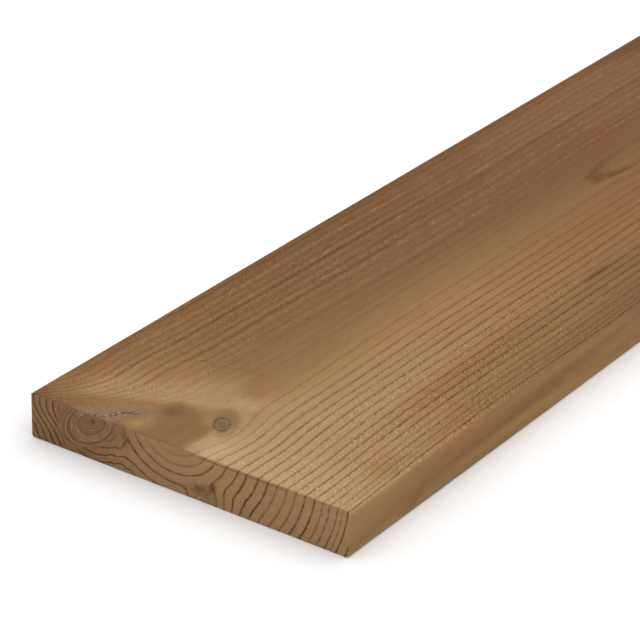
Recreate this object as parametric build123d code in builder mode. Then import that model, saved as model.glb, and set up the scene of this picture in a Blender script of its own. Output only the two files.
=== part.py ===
from build123d import *

import os

# Rectangular exterior cladding board, sawn and planed from one length of softwood.
# It lies flat on its back: X runs along the grain, Y across the width and Z through
# the thickness, from the back at Z 0 up to the show face. Sizes are in millimetres.

# Driving dimensions
board_length = 2400.0
board_width = 148.0
board_thickness = 19.0
face_arris_radius = 0.5  # the show face is resawn last, so its arrises stay crisp
back_arris_radius = 1.0  # the planer eases the arrises of the back

# The section is drawn square to the grain and run out both ways to the sawn ends.
with BuildPart() as cladding_board:
    with BuildSketch(Plane.YZ) as section:
        with Locations((0, board_thickness / 2)):
            Rectangle(board_width, board_thickness)
        fillet(section.vertices().group_by(Axis.Y)[0], back_arris_radius)
        fillet(section.vertices().group_by(Axis.Y)[-1], face_arris_radius)
    extrude(amount=board_length / 2, both=True)
cladding_board.part.label = "cladding_board"

os.makedirs("parts", exist_ok=True)
export_step(cladding_board.part, "parts/cladding_board.step")
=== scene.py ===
"""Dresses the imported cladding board: the wood as it grew, its faces, the floor, light and camera."""
import math

import bmesh
import bpy
import numpy as np
from mathutils import Matrix, Vector


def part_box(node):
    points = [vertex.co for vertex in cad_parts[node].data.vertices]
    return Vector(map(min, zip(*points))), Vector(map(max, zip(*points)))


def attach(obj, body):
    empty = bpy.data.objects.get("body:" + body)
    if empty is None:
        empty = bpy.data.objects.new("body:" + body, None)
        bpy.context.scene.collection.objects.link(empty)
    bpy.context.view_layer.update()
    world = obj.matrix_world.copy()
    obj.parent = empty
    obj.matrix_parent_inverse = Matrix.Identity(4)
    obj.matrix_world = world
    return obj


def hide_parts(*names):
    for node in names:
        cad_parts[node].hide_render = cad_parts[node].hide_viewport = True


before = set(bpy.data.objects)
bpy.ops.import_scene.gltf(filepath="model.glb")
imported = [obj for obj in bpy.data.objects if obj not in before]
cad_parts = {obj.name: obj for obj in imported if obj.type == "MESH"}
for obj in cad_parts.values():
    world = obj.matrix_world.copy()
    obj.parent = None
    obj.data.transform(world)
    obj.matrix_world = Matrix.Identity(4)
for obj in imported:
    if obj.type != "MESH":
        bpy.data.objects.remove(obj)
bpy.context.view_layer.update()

# Places in the wood are in millimetres: along the board from its near sawn end, across it from the
# left edge, and deep below the show face. The mesh itself is in metres, in the board's own frame.
MM = 0.001
low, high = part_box("cladding_board")
LENGTH, _, THICKNESS = ((high - low) / MM)[:]
FACE_ARRIS, BACK_ARRIS = 0.5, 1.0

# Wood colours, as linear red, green and blue.
HEART = (0.160, 0.077, 0.034)
BROWN = (0.312, 0.173, 0.076)
SAP = (0.430, 0.282, 0.152)
PALE_SAP = (0.520, 0.365, 0.215)
BRANCH_WOOD = (0.218, 0.136, 0.076)
BRANCH_RING = (0.36, 0.235, 0.138)
BRANCH_PITH = (0.105, 0.045, 0.016)
BRANCH_SMUDGE = (0.105, 0.050, 0.022)
KNOT_WOOD = (0.235, 0.143, 0.076)
KNOT_HALO = (0.235, 0.132, 0.062)
KNOT_BARK = (0.095, 0.054, 0.026)
TORN_FIBRE = (0.37, 0.228, 0.115)
# Tints, which multiply the colour of the wood.
LATEWOOD_TINT = (0.50, 0.37, 0.14)
END_LINE_TINT = (0.36, 0.26, 0.17)
END_TINT = (1.095, 1.21, 1.325)
BRANCH_END_TINT = (0.635, 0.49, 0.395)
REDDENING = (1.03, 0.90, 0.86)
YELLOWING = (0.97, 1.015, 0.92)
# How strongly the fuzz of the saw lightens and darkens red, green and blue.
FUZZ_BLEACH = (1.0, 1.3, 1.9)


# Shares that rise and fall over the board

# A span is a bell's centre and reach, or the places where a share starts, is full, fades and is gone.
# These stand for the sides of a span that lie off the board.
OPEN_START, OPEN_END = (-2, -1), (LENGTH + 1, LENGTH + 2)
ANYWHERE = (*OPEN_START, *OPEN_END)


def ease(start, stop, value):
    """0 up to the start, 1 from the stop on, and smooth between them."""
    share = np.clip((value - start) / (stop - start), 0, 1)
    return share * share * (3 - 2 * share)


def fade(start, stop, value):
    return 1 - ease(start, stop, value)


def steps(levels, value):
    """A first level and its changes, each with how much it adds and between which places."""
    first, *changes = levels
    return first + sum(change * ease(start, stop, value) for change, start, stop in changes)


def blend(a, b, share):
    return a * (1 - share) + b * share


def bell(centre, reach, value):
    return np.exp(-((value - centre) / reach) ** 2)


def span_share(span, value):
    if len(span) == 2:
        return bell(*span, value)
    start, full, fading, gone = span
    return ease(start, full, value) * fade(fading, gone, value)


def areas(table, one_way, other_way):
    """Adds up areas, each with how much it gives and its spans in the two ways."""
    total = np.zeros_like(one_way)
    for gain, one_span, other_span in table:
        total += gain * span_share(one_span, one_way) * span_share(other_span, other_way)
    return total


def waves(table, along, across):
    """Adds up waves, each with its height, its length along and across, and its phase."""
    total = np.zeros_like(along)
    for height, length_along, length_across, phase in table:
        total += height * np.sin(along / length_along + across / length_across + phase)
    return total


# Growth rings of the stem

# The pith runs above the face, leans to the right, dips towards the face, and sways further on.
PITH_ACROSS, PITH_ABOVE = 69.0, (6.4, (-5.6, 297, 336))
LEAN, LEAN_START, LEAN_LENGTH = 0.010, 90, 260
SWAY_START = 365
SWAY_ACROSS, SWAY_ACROSS_LENGTH = 4.0, 330
SWAY_ABOVE, SWAY_ABOVE_LENGTH = 3.6, 210

# Each ring's radius. The rings are flattened towards the back, and wave a little down the board.
RING_RADII = (0, 6.9, 11.2, 15.8, 20.2, 25.2, 30.4, 34.3, 39.2, 43.6, 47.6, 52, 56, 60, 64.2, 67.9,
              70.7, 74.4, 76.4, 78.6, 82.8, 86.5, 90, 93)
RING_FLATTENING = 1.15
RING_WAVES, RING_WAVES_START = ((0.34, 38, 25, 0.0), (0.2, 17, -11, 1.3)), (0, 60)
MEAN_RING_WIDTH = 4.2

# Left of the pith they drift away from the edge, with a lull, and swing back beside its dip.
DRIFT_AT_EDGE, DRIFT_GAIN, DRIFT_WIDTH = 1.0, 0.085, 45
DRIFT_START, DRIFT_LENGTH = 40, 45
LULL, LULL_ALONG = 1.3, (50, 18)
DRIFT_SIDE, DRIFT_NARROWING = (58, 72), (0, (10, 240, 300))
SWING_BACK = ((1.6, (250, 300, 420, 520), (56, 62, 76, 84)),)

# They bulge round the round knot, and past the near end they draw in on the right.
BULGE, BULGE_ALONG, BULGE_SIDE = 6.4, (21, 15), (72, 80)
BULGE_ACROSS, BULGE_REACH, BULGE_DEPTH = 77, 14, 8
DRAW_IN, DRAW_IN_LENGTH, DRAW_IN_SIDE = 2.1, 38, (86, 106)


def pith_line(along):
    """How far across and how far above the face the pith runs."""
    leaning = np.clip(along - LEAN_START, 0, LEAN_LENGTH)
    swaying = np.clip(along - SWAY_START, 0, None)
    across = PITH_ACROSS + LEAN * leaning + SWAY_ACROSS * np.sin(swaying / SWAY_ACROSS_LENGTH)
    return across, steps(PITH_ABOVE, along) + SWAY_ABOVE * (1 - np.cos(swaying / SWAY_ABOVE_LENGTH))


def drift(along, across):
    """How far the rings on the left of the pith run away from the left edge."""
    growing = 1 - np.exp(-np.clip(along - DRIFT_START, 0, None) / DRIFT_LENGTH)
    out = (DRIFT_AT_EDGE + DRIFT_GAIN * np.minimum(across, DRIFT_WIDTH)) * growing
    out = out - LULL * bell(*LULL_ALONG, along)
    out = out * fade(*DRIFT_SIDE, across + steps(DRIFT_NARROWING, along))
    return out - areas(SWING_BACK, along, across)


def stem_rings(along, across, deep):
    """Ring count round the pith of the stem, and the way round it in millimetres."""
    bulge = BULGE * bell(*BULGE_ALONG, along) * np.exp(-np.abs(across - BULGE_ACROSS) / BULGE_REACH)
    bulge = bulge * ease(*BULGE_SIDE, across) * np.exp(-deep / BULGE_DEPTH)
    draw_in = DRAW_IN * (1 - bell(0, DRAW_IN_LENGTH, along)) * ease(*DRAW_IN_SIDE, across)
    pith_across, pith_above = pith_line(along)
    sideways = across - drift(along, across) - bulge + draw_in - pith_across
    down = RING_FLATTENING * (deep + pith_above)
    radius = np.hypot(sideways, down) + waves(RING_WAVES, along, across) * ease(*RING_WAVES_START, along)
    return np.interp(radius, RING_RADII, np.arange(len(RING_RADII))), np.arctan2(down, sideways) * radius


# Growth rings of the big branch and the knot

# The big branch lies just under the face and meets the near end, where its pith shows. Its wood is sheared
# low down on its left, and its rings are wider towards the stem, at a turn in radians.
BRANCH_ACROSS, BRANCH_DEEP = 30.3, 2.5
BRANCH_LEAN, BRANCH_RISE = 0.9, 0.13
SHEAR, SHEAR_DEEP, SHEAR_SIDE = 5.2, (3, 15), (13, 22)
BRANCH_RING_WIDTH, BRANCH_FIRST_RING = 3.15, 1.7
STEM_SIDE_WIDENING, STEM_SIDE_TURN = 0.45, (0.35, 0.42)
BRANCH_REACH, BRANCH_TAPER = 31.0, 9

# Its own close rings are ovals, long towards the upper right of the end, and thicker on the lower left.
OVAL_TILT, OVAL_LENGTH = math.radians(35.0), 1.75
HEAVIER_ALONG, HEAVIER_ACROSS = -0.157, 0.112
OVAL_LEAST = 0.01
OVAL_LEFT_SWELL, OVAL_LEFT_SIDE = 0.27, (5, 13)

# How far its own wood reaches from its pith on the face, from its pith on the end, and along.
BRANCH_ON_FACE, BRANCH_ON_END, BRANCH_ALONG = (6, 12.5), (12.5, 16), (10, 20)
LOPSIDED, LOPSIDED_TURN = 0.21, 2.7
GRAIN_SLANT = 0.6

# The small branch comes through the face as a round knot and leaves low down by the near end.
KNOT_ACROSS, KNOT_DEEP = 82.0, 17.5
KNOT_LEAN, KNOT_RISE = 0.375, 0.714
KNOT_RADIUS = 3.65
KNOT_INNER_RING, KNOT_OUTER_RING = 4.1, 5
KNOT_RINGS_RADIUS, KNOT_RING_WIDTH = 6.8, 3.4
KNOT_REACH, KNOT_TAPER = 8, 8

# Over how many rings two sets of rings round into each other, and a ripple beside the big branch.
KNOT_MEETING, BRANCH_MEETING = 1.2, (1.2, (2.4, 0, 25))
RIPPLE, RIPPLE_ACROSS, RIPPLE_DEEP = 0.13, 1.15, 0.5
RIPPLE_SPAN, RIPPLE_LENGTH = (42, 7), 5

# How deep below the show face its own look reaches.
FACE_DEPTH = 1.5


def from_branch_pith(along, across, deep):
    """Distance from the pith of the big branch, the turn round it, and how far to the right of it."""
    sheared = across - SHEAR * ease(*SHEAR_DEEP, deep) * fade(*SHEAR_SIDE, across)
    sideways = sheared - BRANCH_ACROSS - BRANCH_LEAN * along
    down = deep - BRANCH_DEEP + BRANCH_RISE * along
    return np.hypot(sideways, down), np.arctan2(down, sideways), sideways


def branch_rings(along, across, deep):
    distance, turn, _ = from_branch_pith(along, across, deep)
    ring_width = BRANCH_RING_WIDTH * (1 + STEM_SIDE_WIDENING * bell(*STEM_SIDE_TURN, turn))
    past_reach = np.clip(along - BRANCH_REACH, 0, None)
    return BRANCH_FIRST_RING + distance / ring_width + (past_reach / BRANCH_TAPER) ** 2


def branch_share(along, across, deep, on_face):
    """Share of the big branch's own wood, as it lies open on the face and as the end cuts it."""
    distance, turn, sideways = from_branch_pith(along, across, deep)
    open_distance = distance / (1 + LOPSIDED * np.cos(turn - LOPSIDED_TURN))
    lengthways = distance * np.cos(turn + OVAL_TILT)
    crossways = OVAL_LENGTH * distance * np.sin(turn + OVAL_TILT)
    oval = np.hypot(lengthways, crossways)
    heavier = HEAVIER_ALONG * lengthways + HEAVIER_ACROSS * crossways
    cut_distance = oval * oval / np.maximum(oval + heavier, OVAL_LEAST)
    cut_distance = cut_distance * (1 - OVAL_LEFT_SWELL * ease(*OVAL_LEFT_SIDE, -sideways))
    share = blend(fade(*BRANCH_ON_END, cut_distance), fade(*BRANCH_ON_FACE, open_distance), on_face)
    return share * fade(*BRANCH_ALONG, along)


def knot_rings(along, across, deep):
    distance = np.hypot(across - KNOT_ACROSS + KNOT_LEAN * along, deep - KNOT_DEEP + KNOT_RISE * along)
    inside = KNOT_INNER_RING + (KNOT_OUTER_RING - KNOT_INNER_RING) * (distance / KNOT_RINGS_RADIUS) ** 2
    outside = KNOT_OUTER_RING + (distance - KNOT_RINGS_RADIUS) / KNOT_RING_WIDTH
    past_reach = np.clip(along - KNOT_REACH, 0, None)
    return np.where(distance < KNOT_RINGS_RADIUS, inside, outside) + (past_reach / KNOT_TAPER) ** 2


def grow_together(a, b, reach):
    """The lower of two ring counts, rounded where they meet, as rings run on from stem to branch."""
    meeting = np.clip(reach - np.abs(a - b), 0, None) / reach
    return np.minimum(a, b) - meeting * meeting * reach / 4


def all_rings(along, across, deep):
    """Ring count through stem, big branch and knot, and the way round the stem in millimetres."""
    stem, around = stem_rings(along, across, deep)
    rings = grow_together(stem, branch_rings(along, across, deep), steps(BRANCH_MEETING, along))
    rings = grow_together(rings, knot_rings(along, across, deep), KNOT_MEETING)
    ripple = RIPPLE * np.sin(RIPPLE_ACROSS * across + RIPPLE_DEEP * deep)
    return rings + ripple * bell(*RIPPLE_SPAN, across) * bell(0, RIPPLE_LENGTH, along), around


# The line of latewood that ends each ring

# Each ring's darkness on the right of the face and of a sawn end, and on the left of the face, near and far.
RING_DARKNESS = (0.3, 0.7, 0.35, 0.4, 0.6, 0.65, 0.7, 0.75, 0.75, 0.7, 0.6, 0.75, 0.65, 0.8, 0.8, 0.55,
                 0.7, 0.65, 0.55, 0.9, 0.75, 0.7, 0.7, 0.7)
END_DARKNESS = (0.3, 0.7, 0.4, 0.45, 0.65, 0.6, 0.65, 0.95, 0.85, 0.9, 0.5, 0.5, 0.5, 0.75, 1.0, 0.5,
                0.6, 0.75, 0.6, 0.95, 0.8, 0.7, 0.7, 0.7)
LEFT_DARKNESS = (0.3, 0.7, 0.2, 0.3, 0.25, 0.35, 0.3, 0.35, 0.75, 0.65, 0.5, 0.95, 0.6, 0.45, 0.5, 0.6,
                 *[0.5] * 8)
LEFT_FAR_DARKNESS = (0.3, 0.7, 0.3, 0.3, 0.25, 0.3, 0.4, 0.25, 0.45, 0.5, 0.95, 0.3, 0.35, 0.5, 0.4, 0.6,
                 *[0.5] * 8)
LEFT_SIDE, LEFT_FAR_ALONG, SAWN_RIGHT_SIDE = (56, 76), (200, 290), (78, 90)

# Lines on the left are weak at the near end, and strongest by the crotch of the branch.
LEFT_STRENGTH = (0.63, (0.12, 8, 25), (-0.09, 25, 45))
# All of them weaken in the smooth patch and down the board, and change across the left of the end.
PATCH_LOSS = 0.9
STRENGTH_ALONG = (1, (-0.25, 150, 300))
END_LEFT_GAIN = (-0.12, (0.22, 6, 12), (-0.1, 40, 60))
# They almost stop on both sides of the cut branch: spans across and deep, and how far along.
BESIDE_BRANCH = ((0.75, (43, 2.6), (5, 5.5)),)
BARK_SIDE = ((0.8, (12.5, 15, 20, 26), (*OPEN_START, 11, 14)),)
BESIDE_LENGTH = 4
# The innermost rings show only where the pith dips towards the face.
INNERMOST_RINGS = 2
INNERMOST_STRENGTH = (0, (1.15, 296, 304), (-0.6, 316, 334))
# Widths of the lines, what is added on the left of the face and of the end, and of the innermost rings.
LINE_WIDTH = 1.1
LEFT_WIDER = (0.4, (0.6, 30, 110))
END_LEFT_WIDER = (1.2, (-1.2, 13, 18))
INNERMOST_WIDTH = (2.5, (-1.2, 340, 420))


def nearest_ring(rings):
    return np.clip(np.round(rings), 0, len(RING_DARKNESS) - 1).astype(int)


def left_face_share(across, on_face):
    return fade(*LEFT_SIDE, across) * on_face


def line_darkness(rings, in_branch, on_face, along, across, deep):
    ring = nearest_ring(rings)
    far = ease(*LEFT_FAR_ALONG, along)
    left = blend(np.array(LEFT_DARKNESS)[ring], np.array(LEFT_FAR_DARKNESS)[ring], far)
    left = left * steps(LEFT_STRENGTH, along)
    sawn_right = ease(*SAWN_RIGHT_SIDE, across) * (1 - on_face)
    right = blend(np.array(RING_DARKNESS)[ring], np.array(END_DARKNESS)[ring], sawn_right)
    darkness = blend(right, left, left_face_share(across, on_face)) * (1 - in_branch)
    darkness = darkness * (1 - PATCH_LOSS * patch_share(along, across) * on_face)
    darkness = darkness * steps(STRENGTH_ALONG, along)
    darkness = darkness * (1 + steps(END_LEFT_GAIN, across) * (1 - on_face))
    darkness = darkness * (1 - areas(BESIDE_BRANCH, across, deep) * bell(0, BESIDE_LENGTH, along))
    darkness = darkness * (1 - areas(BARK_SIDE, across, deep) * np.exp(-along / BESIDE_LENGTH))
    return np.where(ring < INNERMOST_RINGS, darkness * steps(INNERMOST_STRENGTH, along), darkness)


def line_width(rings, on_face, along, across):
    width = LINE_WIDTH + steps(LEFT_WIDER, along) * left_face_share(across, on_face)
    width = width + steps(END_LEFT_WIDER, across) * (1 - on_face)
    return np.where(nearest_ring(rings) < INNERMOST_RINGS, steps(INNERMOST_WIDTH, along), width)


def grow(along, across, deep):
    """Ring count, place in the grain, darkness and width of the ring line, and share of branch wood."""
    rings, around = all_rings(along, across, deep)
    on_face = np.exp(-deep / FACE_DEPTH)
    in_branch = branch_share(along, across, deep, on_face)
    darkness = line_darkness(rings, in_branch, on_face, along, across, deep)
    width = line_width(rings, on_face, along, across)
    run = along + in_branch * GRAIN_SLANT * (across - BRANCH_ACROSS)
    grain = np.stack((run, rings * MEAN_RING_WIDTH, around), axis=1)
    return rings, grain, darkness, width, in_branch


def latewood_relief(rings):
    """1 on the hard latewood of a ring and 0 on the soft wood between."""
    off = rings - np.round(rings)
    return ease(-0.24, -0.03, off) * fade(0.03, 0.13, off)


# Tone of the wood, from dark heartwood at 0 to pale wood at 1

# Inside the board: darker on the left, with slow waves that start some way along.
INNER_TONE, RIGHT_GAIN, RIGHT_SIDE = 0.125, 0.225, (52, 90)
SLOW_WAVES, SLOW_WAVES_START = ((0.05, 140, 60, 0.0), (0.04, 61, -33, 2.0)), (60, 240)
# On the face painted light makes it paler towards the near end, where the light falls brightest, but not at
# the very end on the left.
LEFT_PAINTED_LIGHT, LEFT_PAINTED_LIGHT_LENGTH, LEFT_PAINTED_LIGHT_START = 0.36, 75, (-2, 16)
RIGHT_PAINTED_LIGHT, RIGHT_PAINTED_LIGHT_LENGTH = 0.68, 125
# Broad areas of the face: change of tone, span along and span across.
FACE_AREAS = (
    (0.06, (20, 50, 120, 220), (104, 9)), (0.08, (80, 35), (57, 6)), (-0.08, (80, 35), (70, 6)),
    (0.09, (55, 10), (12, 20, 42, 52)), (-0.05, (34, 12), (84, 92, *OPEN_END)),
    (-0.04, (155, 35), (84, 96, 120, 130)), (-0.05, (170, 240, 330, 600), (72, 84, *OPEN_END)),
    (-0.051, (15, 115, *OPEN_END), (112, 124, *OPEN_END)),
    (-0.119, (15, 115, 330, 600), (112, 124, *OPEN_END)),
    (-0.03, ANYWHERE, (133, 142, *OPEN_END)), (-0.07, (*OPEN_START, 330, 600), (133, 142, *OPEN_END)),
    (-0.10, ANYWHERE, (*OPEN_START, 1, 9)))
# Smaller spots on it, and redder ones or, below 0, yellower ones.
FACE_SPOTS = (
    (0.22, (7, 9), (80, 7)), (0.42, (5, 7), (47, 5)), (0.07, (17, 5), (44, 4)), (-0.07, (14, 5), (10, 7)),
    (-0.06, (40, 16), (4, 10)), (-0.06, (40, 6), (30, 6)), (-0.06, (41, 6), (60, 6)),
    (-0.06, (70, 14), (90, 5)), (-0.13, (34, 10), (138, 6)), (-0.30, (222, 13), (119.5, 1.6)),
    (-0.12, (455, 20), (0, 12)), (-0.05, (270, 70), (7, 12)))
RED_SPOTS = (
    (1.0, (265, 75), (31, 5)), (1.0, (350, 55), (49, 10)), (1.0, (275, 55), (97, 15)),
    (0.5, (34, 10), (137, 4)), (0.8, (310, 40), (2, 4)), (0.6, (106, 9), (119, 3)),
    (-1.2, (6, 6), (46, 5)), (-0.9, (85, 45), (80, 9)), (-0.6, (75, 30), (107, 8)))

# Pale wood in the crotch of the big branch, past a slanting line, longer on the left.
CROTCH_TONE, CROTCH_START, CROTCH_SLANT = 0.82, 11, 0.43
CROTCH_EDGE, CROTCH_FADE, CROTCH_LENGTH = (-10, -2), 2, 34
CROTCH_SHORTER, CROTCH_SHORTER_SIDE = 25, (56, 69)
CROTCH_LEFT, CROTCH_MIDDLE, CROTCH_RIGHT = (5, 18), (30, 50), (76, 90)
CROTCH_LEFT_SHARE = 0.8
# The smooth brown patch beside the round knot, with a slanting upper side and a wavy lower one.
PATCH_TONE = 0.24
PATCH_UPPER, PATCH_UPPER_SLANT, PATCH_UPPER_LENGTH = (51, 58), 0.35, 18
PATCH_LOWER, PATCH_FAR, PATCH_FAR_SLANT, PATCH_FAR_ACROSS = (71, 75), (24.5, 31), 0.6, 57
# Its dark upper corner leans along the crotch.
CORNER_LOSS, CORNER_ALONG, CORNER_ACROSS, CORNER_LEAN = 0.16, (20, 6), (51, 4), 0.5

# The planed right edge: painted paler near the near end, as painted light, with a dark band that rises along
# it.
SKIN_DEPTH = 1.6
EDGE_PAINTED_LIGHT, EDGE_SIDE, EDGE_ALONG = 0.09, (145, 147.5), (230, 300)
BAND_LOSS, BAND_DEEP, BAND_RISE, BAND_ALONG = 0.2, (12.5, 3.2), 0.055, (30, 55)
BAND_RISE_START = 50

# Areas of the near end: change of tone, span across and span deep.
END_AREAS = (
    (0.2, (38, 58, *OPEN_END), ANYWHERE), (-0.2, (*RIGHT_SIDE, *OPEN_END), ANYWHERE),
    (-0.08, (*OPEN_START, 24, 40), (9, 18, *OPEN_END)), (0.1, (42, 6), (7, 11, *OPEN_END)),
    (0.07, (88, 14), (*OPEN_START, 8, 11)), (0.03, (*OPEN_START, 10, 16), ANYWHERE))
END_AREAS_ALONG = (0, 30)


def crotch_share(along, across):
    past_branch = along - CROTCH_START - CROTCH_SLANT * across
    length = CROTCH_LENGTH - CROTCH_SHORTER * ease(*CROTCH_SHORTER_SIDE, across)
    share = ease(*CROTCH_EDGE, past_branch) * fade(CROTCH_FADE, length, past_branch)
    from_left = CROTCH_LEFT_SHARE * ease(*CROTCH_LEFT, across)
    from_left = from_left + (1 - CROTCH_LEFT_SHARE) * ease(*CROTCH_MIDDLE, across)
    return share * from_left * fade(*CROTCH_RIGHT, across)


def patch_share(along, across):
    upper = across + PATCH_UPPER_SLANT * np.minimum(along, PATCH_UPPER_LENGTH)
    lower = across + 0.5 * np.sin(along / 2.3) + 0.4 * np.sin(along / 5.1)
    slant = PATCH_FAR_SLANT * np.clip(across - PATCH_FAR_ACROSS, 0, None)
    far_side = along + slant + 0.6 * np.sin(across / 1.7)
    return fade(*PATCH_FAR, far_side) * ease(*PATCH_UPPER, upper) * fade(*PATCH_LOWER, lower)


def inner_tone(along, across):
    slow = waves(SLOW_WAVES, along, across) * ease(*SLOW_WAVES_START, along)
    return INNER_TONE + RIGHT_GAIN * ease(*RIGHT_SIDE, across) + slow


def face_tone(along, across, deep):
    """Tone of the face and, past the skin of its arrises, of the edges, with painted light towards the near
    end of the face and of the right edge.
    """
    inner = inner_tone(along, across)
    # Painted light: the face is painted paler towards the near end.
    painted_light_left = LEFT_PAINTED_LIGHT * np.exp(-along / LEFT_PAINTED_LIGHT_LENGTH) * ease(*LEFT_PAINTED_LIGHT_START, along)
    painted_light_right = RIGHT_PAINTED_LIGHT * np.exp(-along / RIGHT_PAINTED_LIGHT_LENGTH)
    face = inner + blend(painted_light_left, painted_light_right, ease(*RIGHT_SIDE, across)) + areas(FACE_AREAS, along, across)
    face = blend(face, CROTCH_TONE, crotch_share(along, across))
    face = blend(face, PATCH_TONE, patch_share(along, across))
    leaning = across - CORNER_LEAN * (along - CORNER_ALONG[0])
    face = face - CORNER_LOSS * bell(*CORNER_ALONG, along) * bell(*CORNER_ACROSS, leaning)
    face = face + areas(FACE_SPOTS, along, across)
    skin = np.exp(-deep / SKIN_DEPTH)
    face = blend(inner, face, skin)
    band = bell(*BAND_DEEP, deep + BAND_RISE * (along - BAND_RISE_START)) * ease(*BAND_ALONG, along)
    right_edge = ease(*EDGE_SIDE, across) * (1 - skin) * fade(*EDGE_ALONG, along)
    # Painted light on the right edge near the near end, less its dark band.
    return face + (EDGE_PAINTED_LIGHT - BAND_LOSS * band) * right_edge


def end_tone(along, across, deep):
    return inner_tone(along, across) + areas(END_AREAS, across, deep) * fade(*END_AREAS_ALONG, along)


# The board's mesh

# Lengths of the board and the rows of mesh in each: close by the knots, wide where the grain is plain.
SPANS = ((0.0, 60.0, 60), (60.0, 290.0, 46), (290.0, 345.0, 22), (345.0, 480.0, 27), (480.0, LENGTH, 128))
# Cuts in the section: across it from its middle, more of them in its upper half, and up from its back.
COLUMNS, FACE_COLUMNS = np.arange(-72, 72.1, 2.0), np.arange(-73, 73.1, 2.0)
LAYERS = np.arange(1.4, 18.3, 1.35)
ARRIS_SEGMENTS = 3
# Edges that turn more than this, in radians, are shown sharp.
SHARP_TURN = 0.8
FACE, EDGE, END = 0, 1, 2

# How far soft wood lies below the latewood, and chance unevenness, with what the sawn face adds to each.
SOFT_HOLLOW, SAWN_HOLLOW = 0.02, 0.05
UNEVENNESS, SAWN_UNEVENNESS = 0.008, 0.02
UNEVENNESS_SEED = 7


def ease_arrises(bm, height_test, radius):
    corners = [v for v in bm.verts if height_test(v.co.z)]
    bmesh.ops.bevel(bm, geom=corners, offset=radius * MM, offset_type="OFFSET", segments=ARRIS_SEGMENTS,
                    profile=0.5, affect="VERTICES", material=-1)


def once_each(elements):
    """Each element once, in the same order in every run, which a set doesn't keep."""
    return list(dict.fromkeys(elements))


def cut_section(bm, places, axis, faces_test):
    """Cuts the section's faces at each place along an axis."""
    normal = Vector([1.0 if i == axis else 0.0 for i in range(3)])
    for place in places:
        faces = [f for f in bm.faces if faces_test(f.calc_center_median())]
        edges = once_each(e for f in faces for e in f.edges)
        verts = once_each(v for f in faces for v in f.verts)
        bmesh.ops.bisect_plane(bm, geom=[*verts, *edges, *faces], dist=1e-7,
                               plane_co=normal * place, plane_no=normal)


def section_face(bm):
    """The section of the board at its near end, cut into small faces."""
    outline = ((low.y, low.z), (high.y, low.z), (high.y, high.z), (low.y, high.z))
    bm.faces.new([bm.verts.new((low.x, y, z)) for y, z in outline])
    middle = (low.z + high.z) / 2
    ease_arrises(bm, lambda z: z < middle, BACK_ARRIS)
    ease_arrises(bm, lambda z: z > middle, FACE_ARRIS)
    cut_section(bm, [middle], 2, lambda centre: True)
    cut_section(bm, COLUMNS * MM, 1, lambda centre: True)
    cut_section(bm, FACE_COLUMNS * MM, 1, lambda centre: centre.z > middle)
    cut_section(bm, LAYERS * MM, 2, lambda centre: True)


def run_out(bm):
    """Runs the section out along the grain, one span after another, and cuts each span into rows."""
    for start, stop, _ in SPANS:
        start_x = low.x + start * MM
        cap = [f for f in bm.faces if all(abs(v.co.x - start_x) < 1e-6 for v in f.verts)]
        edges = once_each(e for f in cap for e in f.edges)
        made = bmesh.ops.extrude_face_region(bm, geom=[*cap, *edges])["geom"]
        moved = [v for v in made if isinstance(v, bmesh.types.BMVert)]
        bmesh.ops.translate(bm, verts=moved, vec=((stop - start) * MM, 0, 0))
    for start, stop, rows in SPANS:
        middle_x, reach = low.x + (start + stop) / 2 * MM, (stop - start) * MM
        walls = [e for e in bm.edges if abs(e.verts[0].co.x - e.verts[1].co.x) > 0.9 * reach
                 and abs((e.verts[0].co.x + e.verts[1].co.x) / 2 - middle_x) < 0.1 * reach]
        bmesh.ops.subdivide_edges(bm, edges=walls, cuts=rows - 1)
    # The last digits of a row's place depend on which way its edges run, so they are rounded off.
    for vert in bm.verts:
        vert.co.x = low.x + round((vert.co.x - low.x) / MM, 2) * MM


def place_order(place):
    """A number that grows along, across and up the board."""
    x, y, z = (round(value / MM, 2) for value in place)
    return x * 1e6 + y * 1e3 + z


def sort_by_place(bm):
    """Sorts the elements, whose order the operators may change from run to run, for the chance unevenness."""
    bm.verts.sort(key=lambda v: place_order(v.co))
    bm.edges.sort(key=lambda e: place_order((e.verts[0].co + e.verts[1].co) / 2))
    bm.faces.sort(key=lambda f: place_order(f.calc_center_median()))


def board_blank():
    bm = bmesh.new()
    section_face(bm)
    run_out(bm)
    sort_by_place(bm)
    bmesh.ops.recalc_face_normals(bm, faces=bm.faces)
    for face in bm.faces:
        face.smooth = True
        if abs(face.normal.x) > 0.9:
            face.material_index = END
        elif face.normal.z < 0.5:
            face.material_index = EDGE
        else:
            face.material_index = FACE
    for edge in bm.edges:
        edge.smooth = edge.calc_face_angle(0.0) < SHARP_TURN
    mesh = bpy.data.meshes.new("cladding_board_wood")
    bm.to_mesh(mesh)
    bm.free()
    return mesh


def vertex_places(mesh):
    co = np.empty(len(mesh.vertices) * 3)
    mesh.vertices.foreach_get("co", co)
    return co.reshape(-1, 3)


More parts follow.
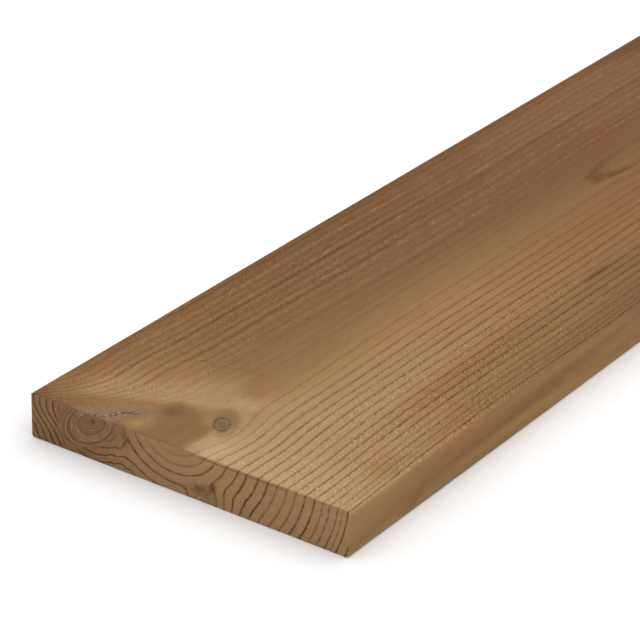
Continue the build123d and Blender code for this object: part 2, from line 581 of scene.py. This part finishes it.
def add_growth(mesh):
    """Stores how the wood grew on the mesh, and lowers the soft wood between the latewood lines."""
    co = vertex_places(mesh)
    normal = np.empty(co.size)
    mesh.vertices.foreach_get("normal", normal)
    normal = normal.reshape(-1, 3)
    along = (co[:, 0] - low.x) / MM
    across = (high.y - co[:, 1]) / MM
    deep = (high.z - co[:, 2]) / MM
    rings, grain, darkness, width, in_branch = grow(along, across, deep)
    for name, values in (("rings", rings), ("tone", face_tone(along, across, deep)),
                         ("end_tone", end_tone(along, across, deep)), ("branch", in_branch),
                         ("ring_darkness", darkness), ("ring_width", width),
                         ("redness", areas(RED_SPOTS, along, across))):
        mesh.attributes.new(name, "FLOAT", "POINT").data.foreach_set("value", values.astype(np.float32))
    mesh.attributes.new("grain", "FLOAT_VECTOR", "POINT").data.foreach_set(
        "vector", grain.astype(np.float32).ravel())
    chance = np.random.default_rng(UNEVENNESS_SEED).random(len(co))
    sawn = np.clip(normal[:, 2], 0, 1)
    hollow = (1 - latewood_relief(rings)) * (SOFT_HOLLOW + SAWN_HOLLOW * sawn)
    hollow = hollow + chance * (UNEVENNESS + SAWN_UNEVENNESS * sawn)
    co -= normal * (hollow * MM)[:, None]
    co = np.clip(co, low, high)
    mesh.vertices.foreach_set("co", co.ravel())
    mesh.update()


# Where each face of the board lies on its flat picture: the span of V, and of U for the ends.
FLAT_ALONG = ((0, 100, 480, 2400), (0.002, 0.12, 0.32, 0.998))
FLAT_FACE, FLAT_BACK, FLAT_RIGHT, FLAT_LEFT = (0.52, 0.996), (0.225, 0.51), (0.155, 0.215), (0.09, 0.145)
FLAT_ENDS, FLAT_NEAR_END, FLAT_FAR_END = (0.004, 0.08), (0.002, 0.62), (0.64, 0.998)


def add_flat_map(mesh):
    """Lays the faces out flat, with more room for the near end, where the figure is close."""
    co = vertex_places(mesh)
    along = (co[:, 0] - low.x) / MM
    across = (high.y - co[:, 1]) / (high.y - low.y)
    deep = (high.z - co[:, 2]) / (high.z - low.z)
    run = np.interp(along, *FLAT_ALONG)
    corner = np.empty(len(mesh.loops), dtype=np.int32)
    mesh.loops.foreach_get("vertex_index", corner)
    normal = np.empty(len(mesh.polygons) * 3)
    mesh.polygons.foreach_get("normal", normal)
    corners = np.empty(len(mesh.polygons), dtype=np.int32)
    mesh.polygons.foreach_get("loop_total", corners)
    normal = np.repeat(normal.reshape(-1, 3), corners, axis=0)
    axis = np.abs(normal).argmax(axis=1)
    outward = np.take_along_axis(normal, axis[:, None], 1)[:, 0] > 0
    uv = np.empty((len(corner), 2))
    for way, positive, u, u_span, v, v_span in (
            (2, True, run, (0, 1), across, FLAT_FACE), (2, False, run, (0, 1), across, FLAT_BACK),
            (1, False, run, (0, 1), deep, FLAT_RIGHT), (1, True, run, (0, 1), deep, FLAT_LEFT),
            (0, False, across, FLAT_NEAR_END, deep, FLAT_ENDS),
            (0, True, across, FLAT_FAR_END, deep, FLAT_ENDS)):
        here = (axis == way) & (outward == positive)
        uv[here, 0] = u_span[0] + u[corner[here]] * (u_span[1] - u_span[0])
        uv[here, 1] = v_span[0] + v[corner[here]] * (v_span[1] - v_span[0])
    mesh.uv_layers.new(name="OFBake").data.foreach_set("uv", uv.astype(np.float32).ravel())


# Node helpers

FLOAT, COLOR = "NodeSocketFloat", "NodeSocketColor"


class Nodes:
    """Adds nodes to one tree. A value given to an input is a number, a colour or another node's socket."""

    def __init__(self, tree):
        self.tree = tree

    def add(self, kind, inputs=(), **settings):
        node = self.tree.nodes.new(kind)
        for name, value in settings.items():
            setattr(node, name, value)
        for key, value in dict(inputs).items():
            self.feed(node.inputs[key], value)
        return node

    def feed(self, socket, value):
        if isinstance(value, bpy.types.NodeSocket):
            self.tree.links.new(value, socket)
        elif socket.type == "RGBA" and len(value) == 3:
            socket.default_value = (*value, 1.0)
        else:
            socket.default_value = value

    def math(self, operation, a, b=0.0, c=0.0, clamp=False):
        node = self.add("ShaderNodeMath", operation=operation, use_clamp=clamp)
        for socket, value in zip(node.inputs, (a, b, c)):
            self.feed(socket, value)
        return node.outputs[0]

    def times(self, a, b):
        return self.math("MULTIPLY", a, b)

    def plus(self, a, b):
        return self.math("ADD", a, b)

    def minus(self, a, b):
        return self.math("SUBTRACT", a, b)

    def times_plus(self, a, b, c):
        return self.math("MULTIPLY_ADD", a, b, c)

    def larger(self, a, b, clamp=False):
        return self.math("MAXIMUM", a, b, clamp=clamp)

    def ease(self, value, start, stop, low_value=0.0, high_value=1.0):
        node = self.add("ShaderNodeMapRange", interpolation_type="SMOOTHSTEP")
        for socket, given in zip(node.inputs, (value, start, stop, low_value, high_value)):
            self.feed(socket, given)
        return node.outputs[0]

    def fade(self, value, start, stop):
        return self.ease(value, start, stop, 1.0, 0.0)

    def band(self, value, centre, inner, outer):
        """1 within the inner distance of a centre, falling to 0 at the outer one."""
        return self.fade(self.math("ABSOLUTE", self.minus(value, centre)), inner, outer)

    def length(self, a, b):
        return self.math("SQRT", self.plus(self.times(a, a), self.times(b, b)))

    def mix(self, share, a, b, how="MIX"):
        node = self.add("ShaderNodeMix", data_type="RGBA", blend_type=how)
        self.feed(node.inputs["Factor"], share)
        self.feed(node.inputs[6], a)
        self.feed(node.inputs[7], b)
        return node.outputs[2]

    def tint(self, colour, tint):
        return self.mix(1.0, colour, tint, "MULTIPLY")

    def color(self, red, green, blue):
        return self.add("ShaderNodeCombineColor", {"Red": red, "Green": green, "Blue": blue}).outputs[0]

    def grey(self, value):
        return self.color(value, value, value)

    def attribute(self, name, output="Fac"):
        return self.add("ShaderNodeAttribute", attribute_name=name).outputs[output]

    def noise(self, vector, size, detail=2.0, roughness=0.5, turn=0.0):
        """Noise of this size along the three coordinates, turned this many degrees."""
        turned = (0, 0, math.radians(turn))
        place = self.add("ShaderNodeMapping", {"Vector": vector, "Scale": size, "Rotation": turned},
                         vector_type="TEXTURE").outputs[0]
        return self.add("ShaderNodeTexNoise", {"Vector": place, "Scale": 1.0, "Detail": detail,
                                               "Roughness": roughness}).outputs["Fac"]

    def group(self, name, inputs=()):
        return self.add("ShaderNodeGroup", inputs, node_tree=bpy.data.node_groups[name]).outputs

    def board_place(self):
        """Millimetres along, across and deep, from the board's own coordinates, and the three together."""
        x, y, z = self.add("ShaderNodeSeparateXYZ",
                           {"Vector": self.add("ShaderNodeTexCoord").outputs["Object"]}).outputs
        along = self.times_plus(x, 1 / MM, -low.x / MM)
        across = self.times_plus(y, -1 / MM, high.y / MM)
        deep = self.times_plus(z, -1 / MM, high.z / MM)
        together = self.add("ShaderNodeCombineXYZ", {"X": along, "Y": across, "Z": deep}).outputs[0]
        return along, across, deep, together


def new_group(name, inputs, outputs):
    """A new node group, its nodes and the sockets that it is given and puts out."""
    tree = bpy.data.node_groups.new(name, "ShaderNodeTree")
    for socket_name, kind, default in inputs:
        socket = tree.interface.new_socket(socket_name, in_out="INPUT", socket_type=kind)
        socket.default_value = default
    for socket_name, kind in outputs:
        tree.interface.new_socket(socket_name, in_out="OUTPUT", socket_type=kind)
    nodes = Nodes(tree)
    return nodes, nodes.add("NodeGroupInput").outputs, nodes.add("NodeGroupOutput").inputs


def mask_group(name, *masks):
    nodes, _, out = new_group(name, (), [(mask, FLOAT) for mask in masks])
    return nodes, out


# Patterns in the wood

# Sizes along the grain and the two ways across it.
FINE_STREAK, BROAD_STREAK, RED_LENGTH = (22, 0.8, 0.8), (120, 3, 3), (150, 9, 9)
STRAY_TEAR, TEAR = (60, 3.5, 3.5), (4.0, 1.1, 1.6)
BLOTCH = (3.2, 1.3, 1.3)
LONG_WANDER, SHORT_WANDER, LINE_BREAK = (14, 4, 5), (1.8, 1.2, 1.2), (6, 1.6, 4)
# Sizes along, across and deep of the fuzz on the face, with its slants in degrees.
LONG_FUZZ, LONG_FUZZ_SLANT, SHORT_FUZZ, SHORT_FUZZ_SLANT = (5.4, 1.3, 1.3), -38, (2.2, 0.6, 0.6), -47
SPECKLE, SPECKLE_SLANT, FLECK, FLECK_SLANT = (1.4, 0.8, 0.8), -20, (2.2, 0.8, 0.8), -36
FUZZ_PATCH = (18, 10, 10)
# Rows of rings whose fibres the saw tore on the left of the face.
TORN_RINGS = (5.65, 7.6, 8.6, 10.6, 11.5, 13.4)
# Pale lines between the close rings of the big branch: distance from its pith, reach and strength.
BRANCH_PALE_RINGS = ((3.4, 0.3, 0.3), (5.0, 0.35, 0.5), (6.4, 0.3, 0.25), (8.4, 0.36, 0.8), (9.4, 0.3, 0.75),
                     (10.2, 0.3, 0.65), (11.1, 0.36, 0.9), (14.0, 0.36, 0.6), (16.0, 0.4, 0.4))
# Dark lines between them.
BRANCH_DARK_RINGS = ((7.3, 0.9, 0.7), (8.9, 0.4, 0.8), (9.8, 0.4, 0.8), (10.65, 0.45, 0.9),
                     (12.5, 1.2, 1.0), (15.2, 1.2, 0.9))
# The flecks over its pith on the face: half their width, and how far along they run.
OVER_PITH_CENTRE, OVER_PITH_WIDTH, OVER_PITH_ALONG = 0.4, (1.0, 3.2), (11, 16)
# Small dark specks on the face, along and across.
SPECKS = ((40.5, 64.0), (46.0, 66.5))
# The brown halo of the round knot, set off from it to the right and low.
HALO_SIDEWAYS, HALO_DOWN, HALO_FLATTENING, HALO_WIDTH = 0.8, 1.4, 0.85, (0.4, 4.2)
# The small branch on the near end: where its core lies under the board, the radius of its pale arc, and the
# slanting upper limit and the sides of the brown wood over it.
CORE_ACROSS, CORE_BELOW, CORE_ARC = 82.0, 0.6, 2.4
SMUDGE_SLANT, SMUDGE_TOP, SMUDGE_LEFT, SMUDGE_RIGHT = -0.31, 36.4, (73.0, 80.0), (87.6, 89.2)
# A dark line just under the arris of the near end, and the saw's scratches.
ARRIS_LINE_DEEP, ARRIS_LINE_LEFT, ARRIS_LINE_RIGHT = 0.85, (74, 82), (116, 124)
SCRATCH, SCRATCH_SLANT, SCRATCH_SIDE, SCRATCH_DEEP = (6, 0.45, 1), -14, (112, 122), (8, 10)


def latewood_group():
    """The dark line that ends each growth ring, softer on the side of the pith."""
    n, given, out = new_group("latewood", (("Rings", FLOAT, 0.0), ("Width", FLOAT, 1.0)), (("Line", FLOAT),))
    off = n.minus(given["Rings"], n.math("ROUND", given["Rings"]))
    rise = n.ease(off, n.times(given["Width"], -0.22), -0.02)
    fall = n.fade(off, 0.02, n.times(given["Width"], 0.14))
    n.feed(out["Line"], n.times(rise, fall))


def fibre_group():
    """Streaks along the grain, rows of torn pale fibre and the slanting fuzz that a fine saw leaves."""
    n, out = mask_group("fibre", "Streak", "Torn", "Fuzz", "Red")
    place = n.board_place()[3]
    grain = n.attribute("grain", "Vector")
    rings = n.attribute("rings")
    fine = n.noise(grain, FINE_STREAK, 3.0, 0.65)
    broad = n.noise(grain, BROAD_STREAK)
    n.feed(out["Streak"], n.times_plus(fine, 0.5, n.times_plus(broad, 0.4, 0.05)))
    n.feed(out["Red"], n.noise(grain, RED_LENGTH, 1.0))
    row = 0.0
    for ring in TORN_RINGS:
        row = n.larger(row, n.band(rings, ring, 0.04, 0.26))
    stray = n.ease(n.noise(grain, STRAY_TEAR, 1.0), 0.5, 0.7)
    torn = n.ease(n.noise(grain, TEAR, 2.0, 0.6), 0.5, 0.68)
    n.feed(out["Torn"], n.times(torn, n.larger(row, n.times(stray, 0.8))))
    long_fuzz = n.noise(place, LONG_FUZZ, 3.0, 0.65, LONG_FUZZ_SLANT)
    short_fuzz = n.noise(place, SHORT_FUZZ, 2.0, 0.6, SHORT_FUZZ_SLANT)
    speckle = n.noise(place, SPECKLE, 2.0, 0.6, SPECKLE_SLANT)
    patchy = n.ease(n.noise(place, FUZZ_PATCH, 1.0), 0.35, 0.65, 0.5, 1.25)
    fuzz = n.plus(n.times(long_fuzz, 0.36), n.plus(n.times(short_fuzz, 0.32), n.times(speckle, 0.35)))
    flecks = n.ease(n.noise(place, FLECK, 2.0, 0.6, FLECK_SLANT), 0.5, 0.64)
    fuzz = n.minus(n.times_plus(flecks, 0.18, fuzz), 0.56)
    n.feed(out["Fuzz"], n.times(fuzz, patchy))


def branch_group():
    """The big branch: pale and dark lines of its close rings, its pith and the flecks over the pith."""
    n, out = mask_group("branch", "Pale Ring", "Dark Ring", "Pith", "Fleck", "Pale Fleck")
    along, across, deep, place = n.board_place()
    sideways = n.minus(n.minus(across, BRANCH_ACROSS), n.times(along, BRANCH_LEAN))
    down = n.plus(n.minus(deep, BRANCH_DEEP), n.times(along, BRANCH_RISE))
    distance = n.length(sideways, down)
    sine, cosine = math.sin(OVAL_TILT), math.cos(OVAL_TILT)
    lengthways = n.minus(n.times(sideways, cosine), n.times(down, sine))
    crossways = n.times(n.plus(n.times(sideways, sine), n.times(down, cosine)), OVAL_LENGTH)
    oval = n.length(lengthways, crossways)
    heavier = n.plus(n.times(lengthways, HEAVIER_ALONG), n.times(crossways, HEAVIER_ACROSS))
    lopsided = n.math("DIVIDE", n.times(oval, oval), n.larger(n.plus(oval, heavier), OVAL_LEAST))
    wobble = n.noise(place, (20, 4, 4))
    lopsided = n.plus(lopsided, n.times(n.minus(wobble, 0.5), 1.4))
    broken = n.ease(n.noise(place, (9, 4, 4), 1.0), 0.34, 0.62, 0.4, 1.0)
    for name, lines in (("Pale Ring", BRANCH_PALE_RINGS), ("Dark Ring", BRANCH_DARK_RINGS)):
        mask = 0.0
        for radius, reach, strength in lines:
            mask = n.larger(mask, n.times(n.band(lopsided, radius, 0.0, reach), strength))
        n.feed(out[name], n.times(mask, broken))
    ragged = n.times(n.minus(n.noise(place, (1.5, 1.2, 1.2), 1.0), 0.5), 1.4)
    n.feed(out["Pith"], n.fade(n.plus(distance, ragged), 0.75, 1.2))
    over_pith = n.times(n.band(sideways, OVER_PITH_CENTRE, *OVER_PITH_WIDTH), n.fade(along, *OVER_PITH_ALONG))
    speckle = n.noise(place, (2.2, 1.1, 1.1), 2.0, 0.6, 42)
    n.feed(out["Fleck"], n.times(over_pith, n.ease(speckle, 0.49, 0.57)))
    n.feed(out["Pale Fleck"], n.times(over_pith, n.fade(speckle, 0.38, 0.46)))


def knot_group():
    """The round knot: a dark rim round turned wood, a brown halo, a pale fold of grain, and specks by it."""
    n, out = mask_group("knot", "Inside", "Rim", "Halo", "Eye", "Fold", "Speck")
    along, across, deep, place = n.board_place()
    sideways = n.plus(n.minus(across, KNOT_ACROSS), n.times(along, KNOT_LEAN))
    down = n.plus(n.minus(deep, KNOT_DEEP), n.times(along, KNOT_RISE))
    wobble = n.minus(n.noise(place, (4, 4, 4)), 0.5)
    distance = n.plus(n.length(sideways, down), n.times(wobble, 1.2))
    n.feed(out["Inside"], n.fade(distance, KNOT_RADIUS - 0.7, KNOT_RADIUS + 0.5))
    uneven = n.ease(n.noise(place, (3, 3, 3), 1.0), 0.3, 0.65, 0.25, 1.0)
    n.feed(out["Rim"], n.times(n.band(distance, KNOT_RADIUS - 0.4, 0.1, 1.1), uneven))
    from_halo = n.length(n.minus(sideways, HALO_SIDEWAYS), n.times(n.minus(down, HALO_DOWN), HALO_FLATTENING))
    from_halo = n.plus(from_halo, n.times(wobble, 3.0))
    n.feed(out["Halo"], n.fade(from_halo, *[KNOT_RADIUS + width for width in HALO_WIDTH]))
    scribble = n.noise(place, (2.4, 1.2, 1.2), 2.0, 0.6, -25)
    turned = n.math("FRACT", n.plus(n.times(distance, 0.42), n.times(scribble, 2.0)))
    n.feed(out["Eye"], n.band(turned, 0.5, 0.05, 0.4))
    beside = n.minus(n.times(sideways, 0.6), n.times(down, 0.8))
    n.feed(out["Fold"], n.times(n.band(distance, KNOT_RADIUS + 1.1, 0.1, 1.2), n.ease(beside, 1.5, 4.0)))
    speck = 0.0
    for speck_along, speck_across in SPECKS:
        apart = n.length(n.minus(along, speck_along), n.times(n.minus(across, speck_across), 1.6))
        speck = n.larger(speck, n.fade(apart, 0.3, 1.0))
    n.feed(out["Speck"], speck)


def end_mark_group():
    """Marks of the near end: brown wood and a ring of the small branch, a dark line under the arris, and the
    saw's scratches.
    """
    n, out = mask_group("end_mark", "Smudge", "Pale Arc", "Arris Line", "Scratch", "Mottle")
    along, across, deep, place = n.board_place()
    near = n.fade(along, 2.0, 4.0)
    uneven = n.times(n.minus(n.noise(place, (3, 3, 2)), 0.5), 2.4)
    below = n.plus(n.minus(deep, n.times_plus(across, SMUDGE_SLANT, SMUDGE_TOP)), uneven)
    smudge = n.times(n.ease(below, -0.6, 1.6), n.ease(below, 2.2, 6.5, 1.0, 0.55))
    sides = n.times(n.ease(n.plus(across, uneven), *SMUDGE_LEFT), n.fade(across, *SMUDGE_RIGHT))
    patchy = n.ease(n.noise(place, (4, 3.4, 2.6)), 0.36, 0.62, 0.45, 1.2)
    n.feed(out["Smudge"], n.times(n.times(smudge, sides), n.times(near, patchy)))
    from_core = n.length(n.minus(across, CORE_ACROSS), n.minus(deep, THICKNESS + CORE_BELOW))
    n.feed(out["Pale Arc"], n.times(n.band(from_core, CORE_ARC, 0.1, 0.5), near))
    # A dark line just under the arris of the near end.
    arris_line_sides = n.times(n.ease(across, *ARRIS_LINE_LEFT), n.fade(across, *ARRIS_LINE_RIGHT))
    n.feed(out["Arris Line"], n.times(n.times(n.band(deep, ARRIS_LINE_DEEP, 0.1, 0.5), arris_line_sides), near))
    flat = n.add("ShaderNodeCombineXYZ", {"X": across, "Y": deep}).outputs[0]
    scratch = n.ease(n.noise(flat, SCRATCH, 1.0, turn=SCRATCH_SLANT), 0.5, 0.7)
    scratched = n.times(n.ease(across, *SCRATCH_SIDE), n.fade(deep, *SCRATCH_DEEP))
    n.feed(out["Scratch"], n.times(scratch, scratched))
    pores = n.noise(place, (2, 0.7, 0.7), 3.0, 0.65)
    clouds = n.noise(place, (5, 5, 3))
    n.feed(out["Mottle"], n.plus(n.times(pores, 0.5), n.times(clouds, 0.5)))


# The wood's colour and height, whatever the way its face was cut

# Share of the colour ramp from heartwood through brown to sapwood; the rest is the palest.
TONE_SPAN, BROWN_TONE = 0.85, 0.55
# The left of the face is blotched and torn; the right is hardly so.
TORN_SIDE, TORN_RIGHT_SHARE = (42.0, 60.0), 0.25
# The fuzz on the left and on the right of the face, how it grows from the near end and dies away further on.
LEFT_FUZZ_SIDE, LEFT_FUZZ, MIDDLE_FUZZ = (35.0, 55.0), 1.5, 0.3
RIGHT_FUZZ_SIDE, RIGHT_FUZZ = (82.0, 122.0), 1.6
END_FUZZ, END_FUZZ_ALONG, FAR_FUZZ, FAR_FUZZ_ALONG = 0.65, (10.0, 90.0), 0.3, (110.0, 300.0)


def base_wood(n, given, fibre, grain, torn_side):
    """Heartwood to sapwood by tone, with streaks, blotches, and redder and yellower lengths."""
    blotch = n.minus(n.noise(grain, BLOTCH, 2.0, 0.55), 0.5)
    tone = n.plus(given["Tone"], n.times(n.minus(fibre["Streak"], 0.5), 0.5))
    tone = n.plus(tone, n.times(blotch, n.times(torn_side, 0.42)))
    ramp = n.add("ShaderNodeValToRGB", {"Fac": n.times(tone, TONE_SPAN)})
    stops = ramp.color_ramp.elements
    stops[0].color, stops[1].color = (*HEART, 1.0), (*PALE_SAP, 1.0)
    stops.new(BROWN_TONE * TONE_SPAN).color = (*BROWN, 1.0)
    stops.new(TONE_SPAN).color = (*SAP, 1.0)
    wood = ramp.outputs["Color"]
    redness = n.attribute("redness")
    red = n.larger(n.times(n.ease(fibre["Red"], 0.45, 0.72), 0.3), redness)
    wood = n.mix(red, wood, n.tint(wood, REDDENING))
    yellow = n.larger(n.ease(fibre["Red"], 0.32, 0.52, 0.8, 0.0), n.times(redness, -1.0), clamp=True)
    return n.mix(yellow, wood, n.tint(wood, YELLOWING))


def ring_line(n, given, fibre, grain):
    """Strength of the latewood line, which wanders, shifts with the fuzz and breaks."""
    wander = n.plus(n.times(n.noise(grain, LONG_WANDER), 0.16),
                    n.times(n.noise(grain, SHORT_WANDER), 0.18))
    wander = n.times_plus(fibre["Fuzz"], n.times(given["Fuzz"], 0.7), wander)
    late = n.group("latewood", {"Rings": n.plus(n.attribute("rings"), n.minus(wander, 0.17)),
                                "Width": n.times(n.attribute("ring_width"), given["Line Width"])})
    broken = n.ease(n.noise(grain, LINE_BREAK, 2.0, 0.6), 0.3, 0.62, 0.6, 1.08)
    darkness = n.times(late["Line"], n.attribute("ring_darkness"))
    return n.times(darkness, n.times(given["Line Strength"], broken))


def add_branch(n, wood, given, fibre, in_branch):
    branch = n.group("branch")
    branch_wood = n.mix(n.times(n.minus(fibre["Streak"], 0.35), 1.2), BRANCH_WOOD, BRANCH_RING)
    branch_wood = n.tint(branch_wood, given["Branch Tint"])
    branch_wood = n.mix(n.times(branch["Dark Ring"], n.times(given["Pith"], 0.6)), branch_wood, KNOT_BARK)
    pale_share = n.times_plus(given["Pith"], 0.6, 0.2)
    branch_wood = n.mix(n.times(branch["Pale Ring"], pale_share), branch_wood, BRANCH_RING)
    wood = n.mix(in_branch, wood, branch_wood)
    wood = n.mix(n.times(n.times(branch["Pale Fleck"], given["Knot"]), 0.5), wood, SAP)
    wood = n.mix(n.times(n.times(branch["Fleck"], given["Knot"]), 0.9), wood, KNOT_BARK)
    return n.mix(n.times(branch["Pith"], given["Pith"]), wood, BRANCH_PITH)


def add_knot(n, wood, given):
    knot = n.group("knot")
    wood = n.mix(n.times(n.times(knot["Halo"], given["Knot"]), 0.8), wood, KNOT_HALO)
    wood = n.mix(n.times(n.times(knot["Fold"], given["Knot"]), 0.3), wood, SAP)
    eye = n.mix(n.times(knot["Eye"], 0.55), KNOT_WOOD, KNOT_BARK)
    wood = n.mix(n.times(knot["Inside"], given["Knot"]), wood, eye)
    bark = n.larger(n.times(knot["Rim"], 0.6), n.times(knot["Speck"], 0.45))
    return n.mix(n.times(bark, given["Knot"]), wood, KNOT_BARK)


def add_fuzz(n, wood, given, fibre, along, across):
    left = n.ease(across, *LEFT_FUZZ_SIDE, LEFT_FUZZ, MIDDLE_FUZZ)
    fuzzy = n.plus(left, n.ease(across, *RIGHT_FUZZ_SIDE, 0.0, RIGHT_FUZZ))
    down_board = n.times(n.ease(along, *END_FUZZ_ALONG, END_FUZZ, 1.0),
                         n.ease(along, *FAR_FUZZ_ALONG, 1.0, FAR_FUZZ))
    fuzz = n.times(fibre["Fuzz"], n.times(given["Fuzz"], n.times(fuzzy, down_board)))
    return n.tint(wood, n.color(*[n.times_plus(fuzz, share, 1.0) for share in FUZZ_BLEACH]))


def softwood_group():
    n, given, out = new_group(
        "softwood",
        (("Tone", FLOAT, 0.0), ("Line Strength", FLOAT, 1.0), ("Line Width", FLOAT, 1.0),
         ("Line Tint", COLOR, (*LATEWOOD_TINT, 1.0)), ("Branch Tint", COLOR, (1.0, 1.0, 1.0, 1.0)),
         ("Torn Fibre", FLOAT, 0.0), ("Fuzz", FLOAT, 0.0), ("Knot", FLOAT, 0.0), ("Pith", FLOAT, 0.0)),
        (("Color", COLOR), ("Height", FLOAT), ("Line", FLOAT)))
    along, across = n.board_place()[:2]
    grain = n.attribute("grain", "Vector")
    in_branch = n.attribute("branch")
    fibre = n.group("fibre")
    torn_side = n.ease(across, *TORN_SIDE, 1.0, TORN_RIGHT_SHARE)
    wood = base_wood(n, given, fibre, grain, torn_side)
    line = ring_line(n, given, fibre, grain)
    wood = n.mix(line, wood, n.tint(wood, given["Line Tint"]))
    wood = add_branch(n, wood, given, fibre, in_branch)
    wood = add_knot(n, wood, given)
    torn = n.times(n.times(fibre["Torn"], given["Torn Fibre"]), n.times(torn_side, n.minus(1.0, in_branch)))
    wood = n.mix(torn, wood, TORN_FIBRE)
    n.feed(out["Color"], add_fuzz(n, wood, given, fibre, along, across))
    height = n.plus(n.times(line, 0.4), n.plus(n.times(fibre["Fuzz"], 0.9), n.times(fibre["Streak"], 0.3)))
    n.feed(out["Height"], n.plus(height, n.times(torn, 0.5)))
    n.feed(out["Line"], line)


# Finishes of the board's faces

BARE_WOOD_SPECULAR = 0.03
LATEWOOD_GLOSS = 0.08
RELIEF_DEPTH = 0.2 * MM
EDGE_CLOUD = (45, 30, 5)
FRINGE_FRAYING = (1.5, 1.5, 1.5)


def wood_material(name, tone, roughness, relief, finish, figure):
    """A finish of the same wood: figure gives the softwood group's values for the way it was cut."""
    material = bpy.data.materials.new(name)
    material.use_nodes = True
    n = Nodes(material.node_tree)
    shader = material.node_tree.nodes["Principled BSDF"]
    wood = n.group("softwood", {"Tone": n.attribute(tone), **figure})
    n.feed(shader.inputs["Base Color"], finish(n, wood["Color"]))
    n.feed(shader.inputs["Roughness"], n.times_plus(wood["Line"], -LATEWOOD_GLOSS, roughness))
    shader.inputs["Specular IOR Level"].default_value = BARE_WOOD_SPECULAR
    bump = n.add("ShaderNodeBump", {"Height": wood["Height"], "Strength": relief, "Distance": RELIEF_DEPTH})
    n.feed(shader.inputs["Normal"], bump.outputs["Normal"])
    return material


def face_finish(n, wood):
    """A dark frayed fringe where the face meets the sawn ends."""
    along, _, _, place = n.board_place()
    from_end = n.math("MINIMUM", along, n.minus(LENGTH, along))
    frayed = n.plus(from_end, n.times(n.noise(place, FRINGE_FRAYING, 1.0), 0.9))
    return n.mix(n.ease(frayed, 0.6, 1.5, 0.5, 0.0), wood, KNOT_BARK)


def edge_finish(n, wood):
    """A planed edge, a little uneven in colour along its length."""
    cloud = n.noise(n.board_place()[3], EDGE_CLOUD)
    return n.tint(wood, n.grey(n.times_plus(cloud, 0.16, 0.92)))


def end_finish(n, wood):
    """An end sawn across the grain: mottled, and marked by the saw."""
    marks = n.group("end_mark")
    wood = n.tint(n.tint(wood, END_TINT), n.grey(n.times_plus(marks["Mottle"], 0.68, 0.66)))
    wood = n.mix(n.times(marks["Smudge"], 0.68), wood, BRANCH_SMUDGE)
    wood = n.mix(n.times(marks["Pale Arc"], 0.4), wood, SAP)
    # A dark line just under the arris of the near end.
    wood = n.mix(n.times(marks["Arris Line"], 0.5), wood, KNOT_BARK)
    return n.mix(n.times(marks["Scratch"], 0.42), wood, BRANCH_RING)


def fine_sawn_face():
    return wood_material("fine_sawn_face", "tone", 0.66, 0.8, face_finish,
                         {"Line Strength": 1.02, "Torn Fibre": 0.6, "Fuzz": 0.72, "Knot": 1.0})


def planed_edge():
    return wood_material("planed_edge", "tone", 0.55, 0.2, edge_finish,
                         {"Line Strength": 0.35, "Line Width": 2.4, "Fuzz": 0.08})


def sawn_end():
    return wood_material("sawn_end", "end_tone", 0.72, 0.4, end_finish,
                         {"Line Tint": END_LINE_TINT, "Line Strength": 1.3, "Line Width": 0.8,
                          "Branch Tint": BRANCH_END_TINT, "Fuzz": 0.1, "Pith": 1.0})


def add_object(name, data):
    made = bpy.data.objects.new(name, data)
    bpy.context.scene.collection.objects.link(made)
    return made


def make_board():
    mesh = board_blank()
    add_growth(mesh)
    add_flat_map(mesh)
    for make_group in (latewood_group, fibre_group, branch_group, knot_group, end_mark_group, softwood_group):
        make_group()
    for make_finish in (fine_sawn_face, planed_edge, sawn_end):
        mesh.materials.append(make_finish())
    board = add_object("board_wood", mesh)
    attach(board, "root")
    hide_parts("cladding_board")


# Floor, light and camera

FLOOR_SIZE, FLOOR_GAP = 6.0, 0.2 * MM


def make_floor():
    bm = bmesh.new()
    bmesh.ops.create_grid(bm, x_segments=1, y_segments=1, size=FLOOR_SIZE)
    bmesh.ops.translate(bm, verts=bm.verts, vec=(0, 0, low.z - FLOOR_GAP))
    mesh = bpy.data.meshes.new("floor")
    bm.to_mesh(mesh)
    bm.free()
    material = bpy.data.materials.new("pale_floor")
    material.use_nodes = True
    shader = material.node_tree.nodes["Principled BSDF"]
    shader.inputs["Base Color"].default_value = (0.98, 0.98, 0.98, 1.0)
    shader.inputs["Roughness"].default_value = 0.9
    shader.inputs["Specular IOR Level"].default_value = 0.1
    mesh.materials.append(material)
    floor = add_object("floor", mesh)


def make_light():
    world = bpy.data.worlds.new("studio")
    world.use_nodes = True
    background = world.node_tree.nodes["Background"]
    background.inputs["Color"].default_value = (1.0, 1.0, 1.0, 1.0)
    background.inputs["Strength"].default_value = 0.93
    bpy.context.scene.world = world
    lamp = bpy.data.lights.new("soft_box", "AREA")
    lamp.shape = "RECTANGLE"
    lamp.size, lamp.size_y = 4.0, 3.0
    lamp.energy = 24.0
    soft_box = add_object("soft_box", lamp)
    soft_box.location = (-0.4, -0.5, 2.6)
    soft_box.rotation_euler = (math.radians(10), 0, 0)
    bpy.context.scene.view_settings.view_transform = "Standard"


def make_camera():
    """The photograph's camera: it looks along azimuth and elevation at a point on the show face."""
    azimuth, elevation, roll = math.radians(-55.41), math.radians(27.13), math.radians(-1.298)
    aim, distance = Vector((-1.08317, 0.02137, high.z)), 1.19712
    back = Vector((math.sin(azimuth) * math.cos(elevation), -math.cos(azimuth) * math.cos(elevation),
                   math.sin(elevation)))
    right = Vector((0, 0, 1)).cross(back).normalized()
    up = back.cross(right)
    turn = Matrix((right, up, back)).transposed().to_4x4() @ Matrix.Rotation(-roll, 4, "Z")
    data = bpy.data.cameras.new("camera")
    data.sensor_width = 36.0
    data.lens = 167.644
    camera = add_object("camera", data)
    camera.matrix_world = Matrix.Translation(aim + back * distance) @ turn
    bpy.context.scene.camera = camera


make_board()
make_floor()
make_light()
make_camera()

bpy.context.view_layer.update()
